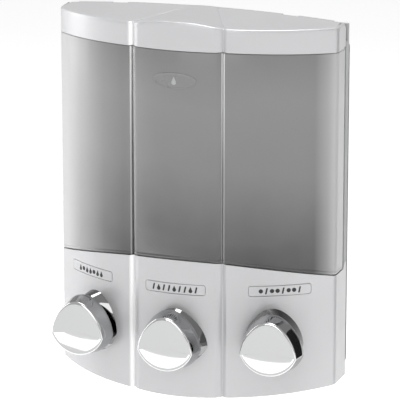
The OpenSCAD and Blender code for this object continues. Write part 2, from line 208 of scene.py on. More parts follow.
def at(x, depth, z):
    """A point in metres from x, depth and the height above the foot, in millimetres."""
    return Vector((x * MM, -depth * MM, (z + FOOT) * MM))


# ---------------------------------------------------------------- mesh helpers

def new_object(name, bm, smooth=35.0):
    """Turns a bmesh into an object, smooth except where faces meet at more than smooth degrees."""
    bmesh.ops.remove_doubles(bm, verts=bm.verts, dist=1e-7)
    bmesh.ops.recalc_face_normals(bm, faces=bm.faces)
    mesh = bpy.data.meshes.new(name)
    bm.to_mesh(mesh)
    bm.free()
    for face in mesh.polygons:
        face.use_smooth = True
    mesh.set_sharp_from_angle(angle=math.radians(smooth))
    obj = bpy.data.objects.new(name, mesh)
    bpy.context.scene.collection.objects.link(obj)
    return obj


def add_grid(bm, rows, closed=False):
    """Quads between rows of points; closed joins each row's last point to its first."""
    verts = [[bm.verts.new(p) for p in row] for row in rows]
    count = len(rows[0])
    for lower, upper in zip(verts, verts[1:]):
        for i in range(count if closed else count - 1):
            j = (i + 1) % count
            bm.faces.new((lower[i], lower[j], upper[j], upper[i]))
    return verts


def cap(bm, ring):
    """Closes a ring of vertices with one face."""
    bm.faces.new(ring)


def apply_modifiers(obj):
    """Bakes the object's modifiers into its mesh."""
    depsgraph = bpy.context.evaluated_depsgraph_get()
    mesh = bpy.data.meshes.new_from_object(obj.evaluated_get(depsgraph))
    obj.modifiers.clear()
    obj.data = mesh


def solidify(obj, thickness):
    """Gives an open shell its wall, inwards."""
    mod = obj.modifiers.new("wall", "SOLIDIFY")
    mod.thickness = thickness * MM
    mod.offset = -1
    mod.use_even_offset = True
    mod.use_quality_normals = True


def bevel(obj, width, segments=3, angle=40.0):
    """Rounds the edges that are sharper than angle."""
    mod = obj.modifiers.new("edges", "BEVEL")
    mod.width = width * MM
    mod.segments = segments
    mod.limit_method = "ANGLE"
    mod.angle_limit = math.radians(angle)
    mod.harden_normals = True


def cut(obj, cutters):
    """Takes the cutters out of the object, and drops them."""
    for cutter in cutters:
        mod = obj.modifiers.new("cut", "BOOLEAN")
        mod.object = cutter
        mod.solver = "EXACT"
    apply_modifiers(obj)
    for cutter in cutters:
        bpy.data.objects.remove(cutter)


def block(name, lo, hi):
    """A closed box between two corners given as (x, depth, z)."""
    bm = bmesh.new()
    corners = [[at(x, d, z) for x, d in ((lo[0], lo[1]), (hi[0], lo[1]), (hi[0], hi[1]), (lo[0], hi[1]))]
               for z in (lo[2], hi[2])]
    rings = add_grid(bm, corners, closed=True)
    cap(bm, rings[0])
    cap(bm, rings[1])
    return new_object(name, bm, 20)


# ---------------------------------------------------------------- the button's outline

TIP_R, NUB_R, FLANK_R = 15.2, 3.7, 34.6


def button_half():
    """Right half of the button's outline as (x, up), from the tip down to the lowest point."""
    tip = (0.0, BUTTON_UP - TIP_R)
    nub = (BUTTON_W / 2 - NUB_R, 0.0)
    low_r = (nub[0] ** 2 + BUTTON_DOWN ** 2 - NUB_R ** 2) / (2 * (BUTTON_DOWN - NUB_R))
    low_c = (0.0, low_r - BUTTON_DOWN)
    gap = math.hypot(nub[0] - tip[0], nub[1] - tip[1])
    along = ((FLANK_R - TIP_R) ** 2 - (FLANK_R - NUB_R) ** 2 + gap * gap) / (2 * gap)
    aside = math.sqrt((FLANK_R - TIP_R) ** 2 - along * along)
    e = ((nub[0] - tip[0]) / gap, (nub[1] - tip[1]) / gap)
    flank = (tip[0] + along * e[0] + aside * e[1], tip[1] + along * e[1] - aside * e[0])

    def turn(a, b):
        return math.degrees(math.atan2(a[0] - b[0], a[1] - b[1]))

    half = arc(tip, TIP_R, 0, turn(tip, flank), 12)
    half += arc(flank, FLANK_R, turn(tip, flank), turn(nub, flank), 14)[1:]
    half += arc(nub, NUB_R, turn(nub, flank), turn(nub, low_c), 10)[1:]
    half += arc(low_c, low_r, turn(nub, low_c), 180, 22)[1:]
    return half


def outline_normals(ring):
    """Unit normals that point out of a closed ring of 2D points that runs clockwise."""
    out = []
    for i in range(len(ring)):
        a, b = ring[i - 1], ring[(i + 1) % len(ring)]
        t = Vector((b[0] - a[0], b[1] - a[1])).normalized()
        out.append((-t.y, t.x))
    return out


BUTTON_HALF = button_half()
BUTTON_RING = BUTTON_HALF + [(-x, up) for x, up in reversed(BUTTON_HALF[1:-1])]
BUTTON_NORMALS = outline_normals(BUTTON_RING)
BUTTON_MIDDLE = 3.0


def button_ring(inset):
    """The outline moved in by inset, exactly while its corners allow it and partly scaled beyond that."""
    exact = min(inset, 3.4)
    k = 1 - max(0.0, inset - exact) / (BUTTON_W / 2 - exact)
    ring = []
    for (x, up), (nx, nu) in zip(BUTTON_RING, BUTTON_NORMALS):
        ring.append(((x - nx * exact) * k, BUTTON_MIDDLE + (up - nu * exact - BUTTON_MIDDLE) * k))
    return ring


def channel_matrix(i):
    """Frame of a channel's button: the middle of its rear rim, with -Y pointing out."""
    x, depth = (0.0, MID_RIM) if i == 0 else (i * SIDE_RIM[0], SIDE_RIM[1])
    turn = Matrix.Rotation(math.radians(i * BUTTON_TURN), 4, "Z")
    return Matrix.Translation(at(x, depth, AXIS_Z)) @ turn


def button_section(inset, out):
    """One ring of the button's form, out millimetres in front of the rim, in the channel's frame."""
    return [Vector((x * MM, -out * MM, (up - AXIS_UP) * MM)) for x, up in button_ring(inset)]


# ---------------------------------------------------------------- materials

def material(name, color, roughness, metallic=0.0):
    """A new material; returns it with its node tree and its shader."""
    mat = bpy.data.materials.new(name)
    mat.use_nodes = True
    tree = mat.node_tree
    shader = tree.nodes["Principled BSDF"]
    shader.inputs["Base Color"].default_value = (*color, 1)
    shader.inputs["Roughness"].default_value = roughness
    shader.inputs["Metallic"].default_value = metallic
    return mat, tree, shader


def coordinates(tree):
    """Object coordinates in metres."""
    return tree.nodes.new("ShaderNodeTexCoord").outputs["Object"]


def noise(tree, scale, detail=4.0, rough=0.55):
    """Noise over the object's own coordinates."""
    node = tree.nodes.new("ShaderNodeTexNoise")
    node.inputs["Scale"].default_value = scale
    node.inputs["Detail"].default_value = detail
    node.inputs["Roughness"].default_value = rough
    tree.links.new(coordinates(tree), node.inputs["Vector"])
    return node.outputs["Fac"]


def spread(tree, value, low_end, high_end, start=0.3, end=0.7):
    """Maps a value from start..end to low_end..high_end."""
    node = tree.nodes.new("ShaderNodeMapRange")
    node.inputs["From Min"].default_value = start
    node.inputs["From Max"].default_value = end
    node.inputs["To Min"].default_value = low_end
    node.inputs["To Max"].default_value = high_end
    tree.links.new(value, node.inputs["Value"])
    return node.outputs["Result"]


def ramp(tree, value, stops):
    """A colour ramp over value, with stops as (position, grey or colour)."""
    node = tree.nodes.new("ShaderNodeValToRGB")
    elements = node.color_ramp.elements
    while len(elements) < len(stops):
        elements.new(0.5)
    for element, (position, color) in zip(elements, stops):
        element.position = position
        rgb = (color, color, color) if isinstance(color, (int, float)) else color
        element.color = (*rgb, 1)
    tree.links.new(value, node.inputs["Fac"])
    return node.outputs["Color"]


def bump(tree, shader, height, strength, distance):
    """Bumps the shader's normal by a height."""
    node = tree.nodes.new("ShaderNodeBump")
    node.inputs["Strength"].default_value = strength
    node.inputs["Distance"].default_value = distance
    tree.links.new(height, node.inputs["Height"])
    tree.links.new(node.outputs["Normal"], shader.inputs["Normal"])


def moulded(name, color, roughness, grain=2600, depth=0.00004, vary=0.04):
    """Moulded plastic: a fine spark-eroded grain, with colour and gloss that drift a little."""
    mat, tree, shader = material(name, color, roughness)
    drift = noise(tree, 22, 3)
    dark = tuple(c * (1 - vary) for c in color)
    light = tuple(min(1.0, c * (1 + vary)) for c in color)
    tree.links.new(ramp(tree, drift, [(0.3, dark), (0.7, light)]), shader.inputs["Base Color"])
    fine = noise(tree, grain, 2, 0.6)
    gloss = spread(tree, noise(tree, 60, 5), roughness * 0.9, roughness * 1.12)
    tree.links.new(gloss, shader.inputs["Roughness"])
    bump(tree, shader, fine, 0.35, depth)
    return mat


def silver_plastic():
    """Silver painted plastic: satin, with tiny flakes in the coat, and a painted highlight along the groove
    beside the left lobe.
    """
    mat, tree, shader = material("silver_plastic", (0.66, 0.66, 0.67), 0.32, 0.3)
    flakes = noise(tree, 5200, 1, 0.5)
    drift = noise(tree, 14, 3)
    mix = tree.nodes.new("ShaderNodeMix")
    mix.data_type = "RGBA"
    mix.blend_type = "MULTIPLY"
    mix.inputs["Factor"].default_value = 1.0
    tree.links.new(ramp(tree, flakes, [(0.3, (0.93, 0.93, 0.935)), (0.7, (1.0, 1.0, 1.0))]), mix.inputs["A"])
    paint = ramp(tree, drift, [(0.3, (0.655, 0.655, 0.665)), (0.7, (0.68, 0.68, 0.69))])
    tree.links.new(paint, mix.inputs["B"])
    # painted highlight: the edge of the groove beside the left lobe is lifted towards white and given a faint
    # glow, standing in for light that it catches
    split = tree.nodes.new("ShaderNodeSeparateXYZ")
    tree.links.new(coordinates(tree), split.inputs["Vector"])
    shift, away = tree.nodes.new("ShaderNodeMath"), tree.nodes.new("ShaderNodeMath")
    shift.inputs[1].default_value = (SEAM_X + 0.9) * MM
    away.operation = "ABSOLUTE"
    tree.links.new(split.outputs["X"], shift.inputs[0])
    tree.links.new(shift.outputs["Value"], away.inputs[0])
    highlight_paint_mix = tree.nodes.new("ShaderNodeMix")
    highlight_paint_mix.data_type = "RGBA"
    highlight_paint_mix.inputs["B"].default_value = (1.0, 1.0, 1.0, 1)
    facing = tree.nodes.new("ShaderNodeSeparateXYZ")
    tree.links.new(tree.nodes.new("ShaderNodeTexCoord").outputs["Normal"], facing.inputs["Vector"])
    painted_highlight_mask = tree.nodes.new("ShaderNodeMath")
    painted_highlight_mask.operation = "MULTIPLY"
    tree.links.new(spread(tree, away.outputs["Value"], 1.0, 0.0, 0.0004, 0.0022), painted_highlight_mask.inputs[0])
    tree.links.new(spread(tree, facing.outputs["Y"], 1.0, 0.0, -0.6, -0.3), painted_highlight_mask.inputs[1])
    edge = painted_highlight_mask.outputs["Value"]
    tree.links.new(edge, highlight_paint_mix.inputs["Factor"])
    tree.links.new(mix.outputs["Result"], highlight_paint_mix.inputs["A"])
    tree.links.new(highlight_paint_mix.outputs["Result"], shader.inputs["Base Color"])
    # painted glow: the same edge gets a faint white emission
    tree.links.new(ramp(tree, edge, [(0.0, 0.0), (1.0, 0.13)]), shader.inputs["Emission Strength"])
    shader.inputs["Emission Color"].default_value = (1, 1, 1, 1)
    tree.links.new(spread(tree, noise(tree, 45, 4), 0.29, 0.36), shader.inputs["Roughness"])
    shader.inputs["Coat Weight"].default_value = 0.15
    shader.inputs["Coat Roughness"].default_value = 0.25
    bump(tree, shader, noise(tree, 3000, 2, 0.6), 0.18, 0.00003)
    return mat


def frosted_plastic():
    """Frosted grey plastic: darker towards the bottom, with painted light at the two end walls and a painted
    highlight along the seams.
    """
    mat, tree, shader = material("frosted_plastic", (0.3, 0.3, 0.3), 0.42)
    split = tree.nodes.new("ShaderNodeSeparateXYZ")
    tree.links.new(coordinates(tree), split.inputs["Vector"])
    bottom, top = low("container_left")[2] * MM, high("container_middle")[2] * MM
    height = spread(tree, split.outputs["Z"], 0.0, 1.0, bottom, top)
    cloud = spread(tree, noise(tree, 16, 3), -0.05, 0.05)
    add = tree.nodes.new("ShaderNodeMath")
    add.operation = "ADD"
    tree.links.new(height, add.inputs[0])
    tree.links.new(cloud, add.inputs[1])
    shade = ramp(tree, add.outputs["Value"],
                 [(0.0, 0.085), (0.12, 0.12), (0.3, 0.19), (0.5, 0.26), (0.75, 0.29), (1.0, 0.26)])
    half = HALF_W * MM
    # painted light: the two end walls are lifted towards a pale grey, standing in for light that passes
    # through them
    across = spread(tree, split.outputs["X"], 0.0, 1.0, -half, half)
    painted_end_light = ramp(tree, across, [(0.0, 1.0), (0.04, 0.95), (0.11, 0.5), (0.22, 0.12), (0.3, 0.0), (0.94, 0.0),
                               (0.975, 0.35), (1.0, 0.8)])
    mix = tree.nodes.new("ShaderNodeMix")
    mix.data_type = "RGBA"
    mix.inputs["B"].default_value = (0.74, 0.735, 0.745, 1)
    tree.links.new(painted_end_light, mix.inputs["Factor"])
    tree.links.new(shade, mix.inputs["A"])
    # painted highlight: a strip along each seam is lifted towards a pale grey that fades towards the bottom
    at_seam = tree.nodes.new("ShaderNodeMath")
    at_seam.operation = "COMPARE"
    size = tree.nodes.new("ShaderNodeMath")
    size.operation = "ABSOLUTE"
    tree.links.new(split.outputs["X"], size.inputs[0])
    tree.links.new(size.outputs["Value"], at_seam.inputs[0])
    at_seam.inputs[1].default_value = SEAM_X * MM
    at_seam.inputs[2].default_value = 1.3 * MM
    painted_seam_light = tree.nodes.new("ShaderNodeMix")
    painted_seam_light.data_type = "RGBA"
    glow = ramp(tree, add.outputs["Value"], [(0.0, 0.3), (0.5, 0.5), (0.8, 0.78), (1.0, 0.85)])
    tree.links.new(at_seam.outputs["Value"], painted_seam_light.inputs["Factor"])
    tree.links.new(mix.outputs["Result"], painted_seam_light.inputs["A"])
    tree.links.new(glow, painted_seam_light.inputs["B"])
    tree.links.new(painted_seam_light.outputs["Result"], shader.inputs["Base Color"])
    tree.links.new(spread(tree, noise(tree, 70, 4), 0.3, 0.4), shader.inputs["Roughness"])
    shader.inputs["Transmission Weight"].default_value = 0.12
    shader.inputs["IOR"].default_value = 1.49
    shader.inputs["Coat Weight"].default_value = 0.25
    shader.inputs["Coat Roughness"].default_value = 0.12
    bump(tree, shader, noise(tree, 2200, 3, 0.6), 0.2, 0.00003)
    return mat


def chrome(name="chrome_plastic", front=0.87, side=0.36):
    """Chrome plated plastic: a mirror with a faint waviness, and painted shade that makes it darker where it
    faces away from the room.
    """
    mat, tree, shader = material(name, (front, front, front), 0.045, 1.0)
    tree.links.new(spread(tree, noise(tree, 240, 5, 0.65), 0.03, 0.07), shader.inputs["Roughness"])
    # painted shade: the colour goes from the front tone to the darker side tone as the surface turns away
    # from the front
    split = tree.nodes.new("ShaderNodeSeparateXYZ")
    geometry = tree.nodes.new("ShaderNodeNewGeometry")
    tree.links.new(geometry.outputs["Normal"], split.inputs["Vector"])
    facing = tree.nodes.new("ShaderNodeMath")
    facing.operation = "MULTIPLY_ADD"
    tree.links.new(split.outputs["Y"], facing.inputs[0])
    facing.inputs[1].default_value = -1.0
    tree.links.new(spread(tree, noise(tree, 30, 2), -0.04, 0.04), facing.inputs[2])
    painted_shade_tint = ramp(tree, facing.outputs["Value"], [(0.1, (side, side * 1.005, side * 1.02)),
                                                (0.75, (front, front * 1.005, front * 1.01))])
    tree.links.new(painted_shade_tint, shader.inputs["Base Color"])
    bump(tree, shader, noise(tree, 60, 2, 0.4), 0.05, 0.00006)
    return mat


def metal(name, color, roughness):
    """Turned or rolled steel with fine lines round it."""
    mat, tree, shader = material(name, color, roughness, 1.0)
    gloss = spread(tree, noise(tree, 900, 3), roughness * 0.8, roughness * 1.3)
    tree.links.new(gloss, shader.inputs["Roughness"])
    bump(tree, shader, noise(tree, 1800, 2), 0.2, 0.00002)
    return mat


def silicone():
    """Cloudy clear silicone."""
    mat, tree, shader = material("silicone", (0.8, 0.8, 0.82), 0.35)
    shader.inputs["Subsurface Weight"].default_value = 0.4
    shader.inputs["Subsurface Radius"].default_value = (0.002, 0.002, 0.002)
    tree.links.new(ramp(tree, noise(tree, 90, 3), [(0.3, 0.74), (0.7, 0.84)]), shader.inputs["Base Color"])
    bump(tree, shader, noise(tree, 1500, 2), 0.15, 0.00002)
    return mat


MATERIALS = {
    "silver_plastic": silver_plastic(),
    "frosted_plastic": frosted_plastic(),
    "chrome_plastic": chrome(),
    "dark_plastic": moulded("dark_plastic", (0.035, 0.035, 0.038), 0.55),
    "grey_plastic": moulded("grey_plastic", (0.45, 0.455, 0.46), 0.45),
    "pump_plastic": moulded("pump_plastic", (0.74, 0.74, 0.73), 0.4),
    "badge_plastic": moulded("badge_plastic", (0.26, 0.26, 0.265), 0.28, 1800, 0.00002),
    "rubber": moulded("rubber", (0.02, 0.02, 0.02), 0.7, 1500, 0.00005),
    "silicone": silicone(),
    "steel": metal("steel", (0.62, 0.62, 0.63), 0.28),
}
# painted shade: a darker copy of the chrome for the necks, standing in for the deep shade round them
SHADED_NECK_CHROME = chrome("neck_chrome_painted_shade", 0.4, 0.07)
INK = moulded("ink", (0.03, 0.03, 0.032), 0.5, 3000, 0.00001, 0.1)


def finish_piece(obj, body, slot, nodes=(), mat=None):
    """Gives a new piece its material, its body and the CAD nodes that it stands for."""
    obj.data.materials.clear()
    obj.data.materials.append(mat or MATERIALS[slot])
    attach(obj, body)
    if nodes:
        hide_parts(*nodes)


# ---------------------------------------------------------------- base fascia

def rows_between(path, low_z, high_z, steps):
    """Rows of points up a wall over a path, between two heights that vary with x."""
    rows = []
    for k in range(steps + 1):
        t = k / steps
        rows.append([at(x, d, low_z(x, d) * (1 - t) + high_z(x, d) * t) for x, d in path])
    return rows


def lobe_angle(i):
    """Angle in degrees at which a lobe's label sits, seen from the middle of the lobe's curve."""
    return i * math.degrees(math.asin((LABEL_X - SIDE_C[0]) / SIDE_R))


def on_lobe(i, s, z, out):
    """A point on a lobe at arc length s from its label's middle, at height z, out millimetres proud of it."""
    c, r = (MID_C, MID_R) if i == 0 else ((i * SIDE_C[0], SIDE_C[1]), SIDE_R)
    a = math.radians(lobe_angle(i)) + s / r
    return at(c[0] + (r + out) * math.sin(a), c[1] + (r + out) * math.cos(a), z)


def rounded_rect(width, height, radius, steps=6):
    """A closed outline with rounded corners, as (s, up)."""
    points = []
    for sx, sz, start in ((1, 1, 0), (1, -1, 90), (-1, -1, 180), (-1, 1, 270)):
        centre = (sx * (width / 2 - radius), sz * (height / 2 - radius))
        points += arc(centre, radius, start, start + 90, steps)
    return points


def dense(ring, step):
    """The ring with extra points so that no side is longer than step."""
    out = []
    for a, b in zip(ring, ring[1:] + ring[:1]):
        n = max(1, math.ceil(math.hypot(b[0] - a[0], b[1] - a[1]) / step))
        out += [(a[0] + (b[0] - a[0]) * k / n, a[1] + (b[1] - a[1]) * k / n) for k in range(n)]
    return out


def lobe_pad(name, i, ring, z, levels, smooth=30.0):
    """A closed pad that follows a lobe. levels are (out, inset) pairs from the back to the front."""
    bm = bmesh.new()
    normals = outline_normals(ring)
    rows = []
    for out, inset in levels:
        rows.append([on_lobe(i, s - n[0] * inset, z + up - n[1] * inset, out)
                     for (s, up), n in zip(ring, normals)])
    s0, up0 = (sum(p[k] for p in ring) / len(ring) for k in (0, 1))
    out, inset = levels[-1]
    for k in (0.8, 0.55, 0.3):
        rows.append([on_lobe(i, s0 + (s - s0 - n[0] * inset) * k,
                             z + up0 + (up - up0 - n[1] * inset) * k, out)
                     for (s, up), n in zip(ring, normals)])
    rings = add_grid(bm, rows, closed=True)
    cap(bm, rings[0])
    cap(bm, rings[-1])
    return new_object(name, bm, smooth)


def make_fascia():
    """The silver front cover: three lobes with soft seams, label pockets and round holes for the pumps."""
    path = whole_path(3.6, steps=10)

    def foot(x, d):
        return FOOT_RISE * (x / HALF_W) ** 2

    def top(x, d):
        return 93.6 if d < 9.8 else arch(BASE_H, BASE_DROP, x)

    bm = bmesh.new()
    add_grid(bm, rows_between(path, foot, top, 14))
    obj = new_object("base_fascia_shell", bm, 30)
    solidify(obj, COVER_T)
    apply_modifiers(obj)
    cutters = []
    for name, i in SIDES.items():
        ring = dense(rounded_rect(LABEL_W + 0.7, LABEL_H + 0.7, 1.95), 2.0)
        cutters.append(lobe_pad("pocket_" + name, i, ring, LABEL_Z, [(-0.8, 0), (2, 0)]))
        bpy.ops.mesh.primitive_cylinder_add(vertices=48, radius=10 * MM, depth=0.05)
        drill = bpy.context.object
        drill.matrix_world = channel_matrix(i) @ Matrix.Translation((0, 0.015, 0)) @ Matrix.Rotation(
            math.pi / 2, 4, "X")
        cutters.append(drill)
    bpy.context.view_layer.update()
    cut(obj, cutters)
    for face in obj.data.polygons:
        face.use_smooth = True
    obj.data.set_sharp_from_angle(angle=math.radians(30))
    bevel(obj, 0.45, 3, 50)
    finish_piece(obj, "unit", "silver_plastic", ["base_fascia"])


def drop_glyph(size):
    """Outline of a drop, size high."""
    points = []
    for k in range(24):
        a = 2 * math.pi * k / 24
        lift = max(0.0, math.cos(a))
        points.append((0.3 * size * math.sin(a) * (1 - 0.55 * lift * lift),
                       size * (0.3 * math.cos(a) + 0.36 * lift ** 3 - 0.2)))
    return points


def dot_glyph(size):
    """Outline of a round dot, a little less than size high."""
    return arc((0, 0), 0.34 * size, 0, 360 * 19 / 20, 19)


def bar_glyph(size):
    """Outline of a slanted bar, size high."""
    return [(x + 0.22 * up, up) for x, up in rounded_rect(0.26 * size, size, 0.1 * size, 3)]


# how many signs a label has, the usual sign, and the one that every third place has
GLYPHS = {"left": (7, drop_glyph, dot_glyph),
          "middle": (9, bar_glyph, drop_glyph),
          "right": (8, dot_glyph, bar_glyph)}


def make_labels():
    """A label plate in each pocket, printed with a row of plain signs in place of words."""
    for name, i in SIDES.items():
        ring = dense(rounded_rect(LABEL_W, LABEL_H, 1.6), 1.5)
        plate = lobe_pad("label_plate_" + name, i, ring, LABEL_Z,
                         [(-0.75, 0), (-0.02, 0), (0.14, 0.08), (0.22, 0.26)])
        finish_piece(plate, "unit", "silver_plastic", ["label_" + name])
        count, first, second = GLYPHS[name]
        for k in range(count):
            shift = (k - (count - 1) / 2) * 4.1
            outline = [(s + shift, up) for s, up in (second if k % 3 == 1 else first)(4.7)]
            mark = lobe_pad("label_mark_%s_%d" % (name, k + 1), i, outline, LABEL_Z, [(0.1, 0), (0.27, 0)])
            finish_piece(mark, "unit", "silver_plastic", mat=INK)


# ---------------------------------------------------------------- containers

def cell_outline(i):
    """Closed outline of a container from above, clockwise, with rounded corners, as (x, depth)."""
    gap = 0.15
    if i == 0:
        edge = SEAM_X - gap
        xs = [edge * math.sin(math.radians(a)) for a in range(-90, 91, 4)]
        front = [(x, lobe_depth(x)) for x in xs]
        corners = [4.2, 4.2, 3.2, 3.2]
        ring = front + [(edge, REAR), (-edge, REAR)]
        sharp = [0, len(front) - 1, len(front), len(front) + 1]
    else:
        inner = SEAM_X + gap
        last = CORNER_C[0] + CORNER_R * math.sin(math.radians(CORNER_A))
        xs = [inner + (last - inner) * k / 40 for k in range(41)]
        front = [(x, lobe_depth(x)) for x in xs] + arc(CORNER_C, CORNER_R, CORNER_A, 90, 12)[1:]
        corners = [1.1, 3.2, 3.2]
        ring = front + [(HALF_W, REAR), (inner, REAR)]
        sharp = [0, len(front), len(front) + 1]
    ring = round_corners(ring, dict(zip(sharp, corners)))
    if i < 0:
        ring = [(-x, d) for x, d in reversed(ring)]
    return dense(ring, 3.0)


def round_corners(ring, radii):
    """Rounds chosen points of a closed ring by cutting back to the radius's tangent points."""
    count = len(ring)
    keep = [True] * count
    inserts = {}
    for index, radius in radii.items():
        p = Vector(ring[index])
        before, after = walk(ring, index, -1, radius * 1.02), walk(ring, index, 1, radius * 1.02)
        for k in before[1] + after[1]:
            keep[k] = False
        keep[index] = False
        a, b = Vector(before[0]), Vector(after[0])
        steps = 9
        curve = []
        for k in range(steps + 1):
            t = k / steps
            curve.append(tuple((1 - t) ** 2 * a + 2 * t * (1 - t) * p + t * t * b))
        inserts[index] = curve
    out = []
    for k in range(count):
        if k in inserts:
            out += inserts[k]
        elif keep[k]:
            out.append(ring[k])
    return out


def walk(ring, index, step, distance):
    """Walks along a ring from a point; returns where it ends and the points that it passed."""
    passed = []
    here = Vector(ring[index])
    k = index
    while True:
        k = (k + step) % len(ring)
        there = Vector(ring[k])
        length = (there - here).length
        if length >= distance:
            return tuple(here + (there - here) * distance / length), passed
        distance -= length
        passed.append(k)
        here = there


def make_container(name, i):
    """A frosted cup with a rounded glassy foot, a stepped rim for the lid and a spigot under its floor."""
    ring = cell_outline(i)
    normals = outline_normals(ring)

    def floor(x):
        return arch(BASE_H, BASE_DROP, x)

    def rim(x):
        return arch(LID_Z, LID_DROP, x)

    # each level: inset, height, and whether the height is counted from the foot or from the rim
    foot = ((2.6, 0.25), (1.5, 0.3), (0.75, 0.55), (0.25, 1.05), (0.0, 1.9), (0.0, 2.5), (0.3, 2.9),
            (0.3, 3.3), (0.0, 3.7))
    levels = [(inset, h, floor) for inset, h in foot]
    levels += [(0.0, -158 + 26 * k, rim) for k in range(1, 6)]
    brim = ((0.0, -1.0), (0.15, -0.6), (0.5, -0.4), (2.6, -0.4), (2.9, -0.1), (2.9, 3.2), (3.1, 3.5),
            (4.1, 3.5), (4.4, 3.2), (4.4, -3.5), (2.2, -6.5), (2.0, -8.0))
    levels += [(inset, h, rim) for inset, h in brim]
    levels += [(2.0, 6.0, floor), (2.6, 3.6, floor), (4.5, 2.7, floor)]
    bm = bmesh.new()
    rows = []
    for inset, h, ref in levels:
        row = []
        for (x, d), n in zip(ring, normals):
            px, pd = x - n[0] * inset, d - n[1] * inset
            row.append(at(px, pd, ref(px) + h))
        rows.append(row)
    cx = sum(x for x, _ in ring) / len(ring)
    cd = sum(d for _, d in ring) / len(ring)
    for k in (0.75, 0.5, 0.25):
        shrunk = [(cx + (x - cx) * k, cd + (d - cd) * k) for x, d in ring]
        rows.append([at(x, d, floor(x) + 2.7) for x, d in shrunk])
    rings = add_grid(bm, rows, closed=True)
    cap(bm, rings[-1])
    cap(bm, rings[0])
    obj = new_object("container_body_" + name, bm, 40)
    port = port_place(i)
    deck = arch(BASE_H, BASE_DROP, port[0])
    spout = lathe("container_spigot_" + name, port, [(4.0, deck + 1.2), (4.0, deck - 9.5), (6.1, deck - 9.5),
                                                     (6.5, deck - 9.1), (6.5, deck + 0.6), (7.2, deck + 1.0)])
    finish_piece(obj, "unit", "frosted_plastic", ["container_" + name])
    finish_piece(spout, "unit", "frosted_plastic")


def port_place(i):
    """x and depth of a channel's port, behind the button's rim on the pump's axis."""
    lo, hi = low("nozzle_" + [n for n, k in SIDES.items() if k == i][0]), high("nozzle_" + [
        n for n, k in SIDES.items() if k == i][0])
    return (lo[0] + hi[0]) / 2, -(lo[1] + hi[1]) / 2


def lathe(name, place, profile, segments=48, smooth=35.0):
    """A closed ring turned from a profile of (radius, height) points round an upright axis."""
    bm = bmesh.new()
    rows = []
    for k in range(segments):
        a = 2 * math.pi * k / segments
        rows.append([at(place[0] + r * math.cos(a), place[1] + r * math.sin(a), z) for r, z in profile])
    rows.append(rows[0])
    add_grid(bm, rows, closed=True)
    return new_object(name, bm, smooth)


def make_badge():
    """A plain oval plate on the middle container, with a raised rim and a single drop."""
    oval = [(17.2 * math.sin(2 * math.pi * k / 72), 5.9 * math.cos(2 * math.pi * k / 72)) for k in range(72)]
    plate = lobe_pad("badge_plate", 0, oval, BADGE_Z,
                     [(-0.1, 0), (0.22, 0), (0.42, 0.2), (0.45, 0.45), (0.43, 0.8), (0.32, 1.0)])
    finish_piece(plate, "unit", "badge_plastic", ["badge"])
    drop = lobe_pad("badge_drop", 0, drop_glyph(6.2), BADGE_Z, [(0.26, 0), (0.4, 0.02), (0.46, 0.25)])
    finish_piece(drop, "unit", "grey_plastic")


# ---------------------------------------------------------------- lid

def rear_x(x):
    """Where a line from the lid's front meets its rear edge: the middle fan narrows to a third."""
    narrow = 10.5
    if abs(x) <= SEAM_X:
        return x * narrow / SEAM_X
    return math.copysign(narrow + (abs(x) - SEAM_X) * (HALF_W - narrow) / (HALF_W - SEAM_X), x)


def lid_height(x, depth, x_front):
    """Height of the lid's top at x and depth; x_front is where its line from the rear meets the front."""
    share = (depth - PIVOT_DEPTH) / (SEAM_DEPTH - PIVOT_DEPTH)
    z = LID_Z + LID_H + LID_RISE * (1 - (depth - 11.2) / 66.4) - (LID_DROP + 0.6) * (x / HALF_W) ** 2
    k = min(1.0, abs(x_front) / SEAM_X)
    if abs(x_front) < SEAM_X:
        z += (CREST * share + 0.35 * (1 - share)) * (1 - k * k) - 0.3 * share
    away = abs(abs(x_front) - SEAM_X)
    z -= 0.45 * max(0.0, 1 - away / 1.6) * (0.5 + 0.5 * share)
    # the crest rounds off softly below the lid's highest point
    over = z - LID_TOP + 0.6
    return z if over <= 0 else LID_TOP - 0.6 * math.exp(-over / 0.6)


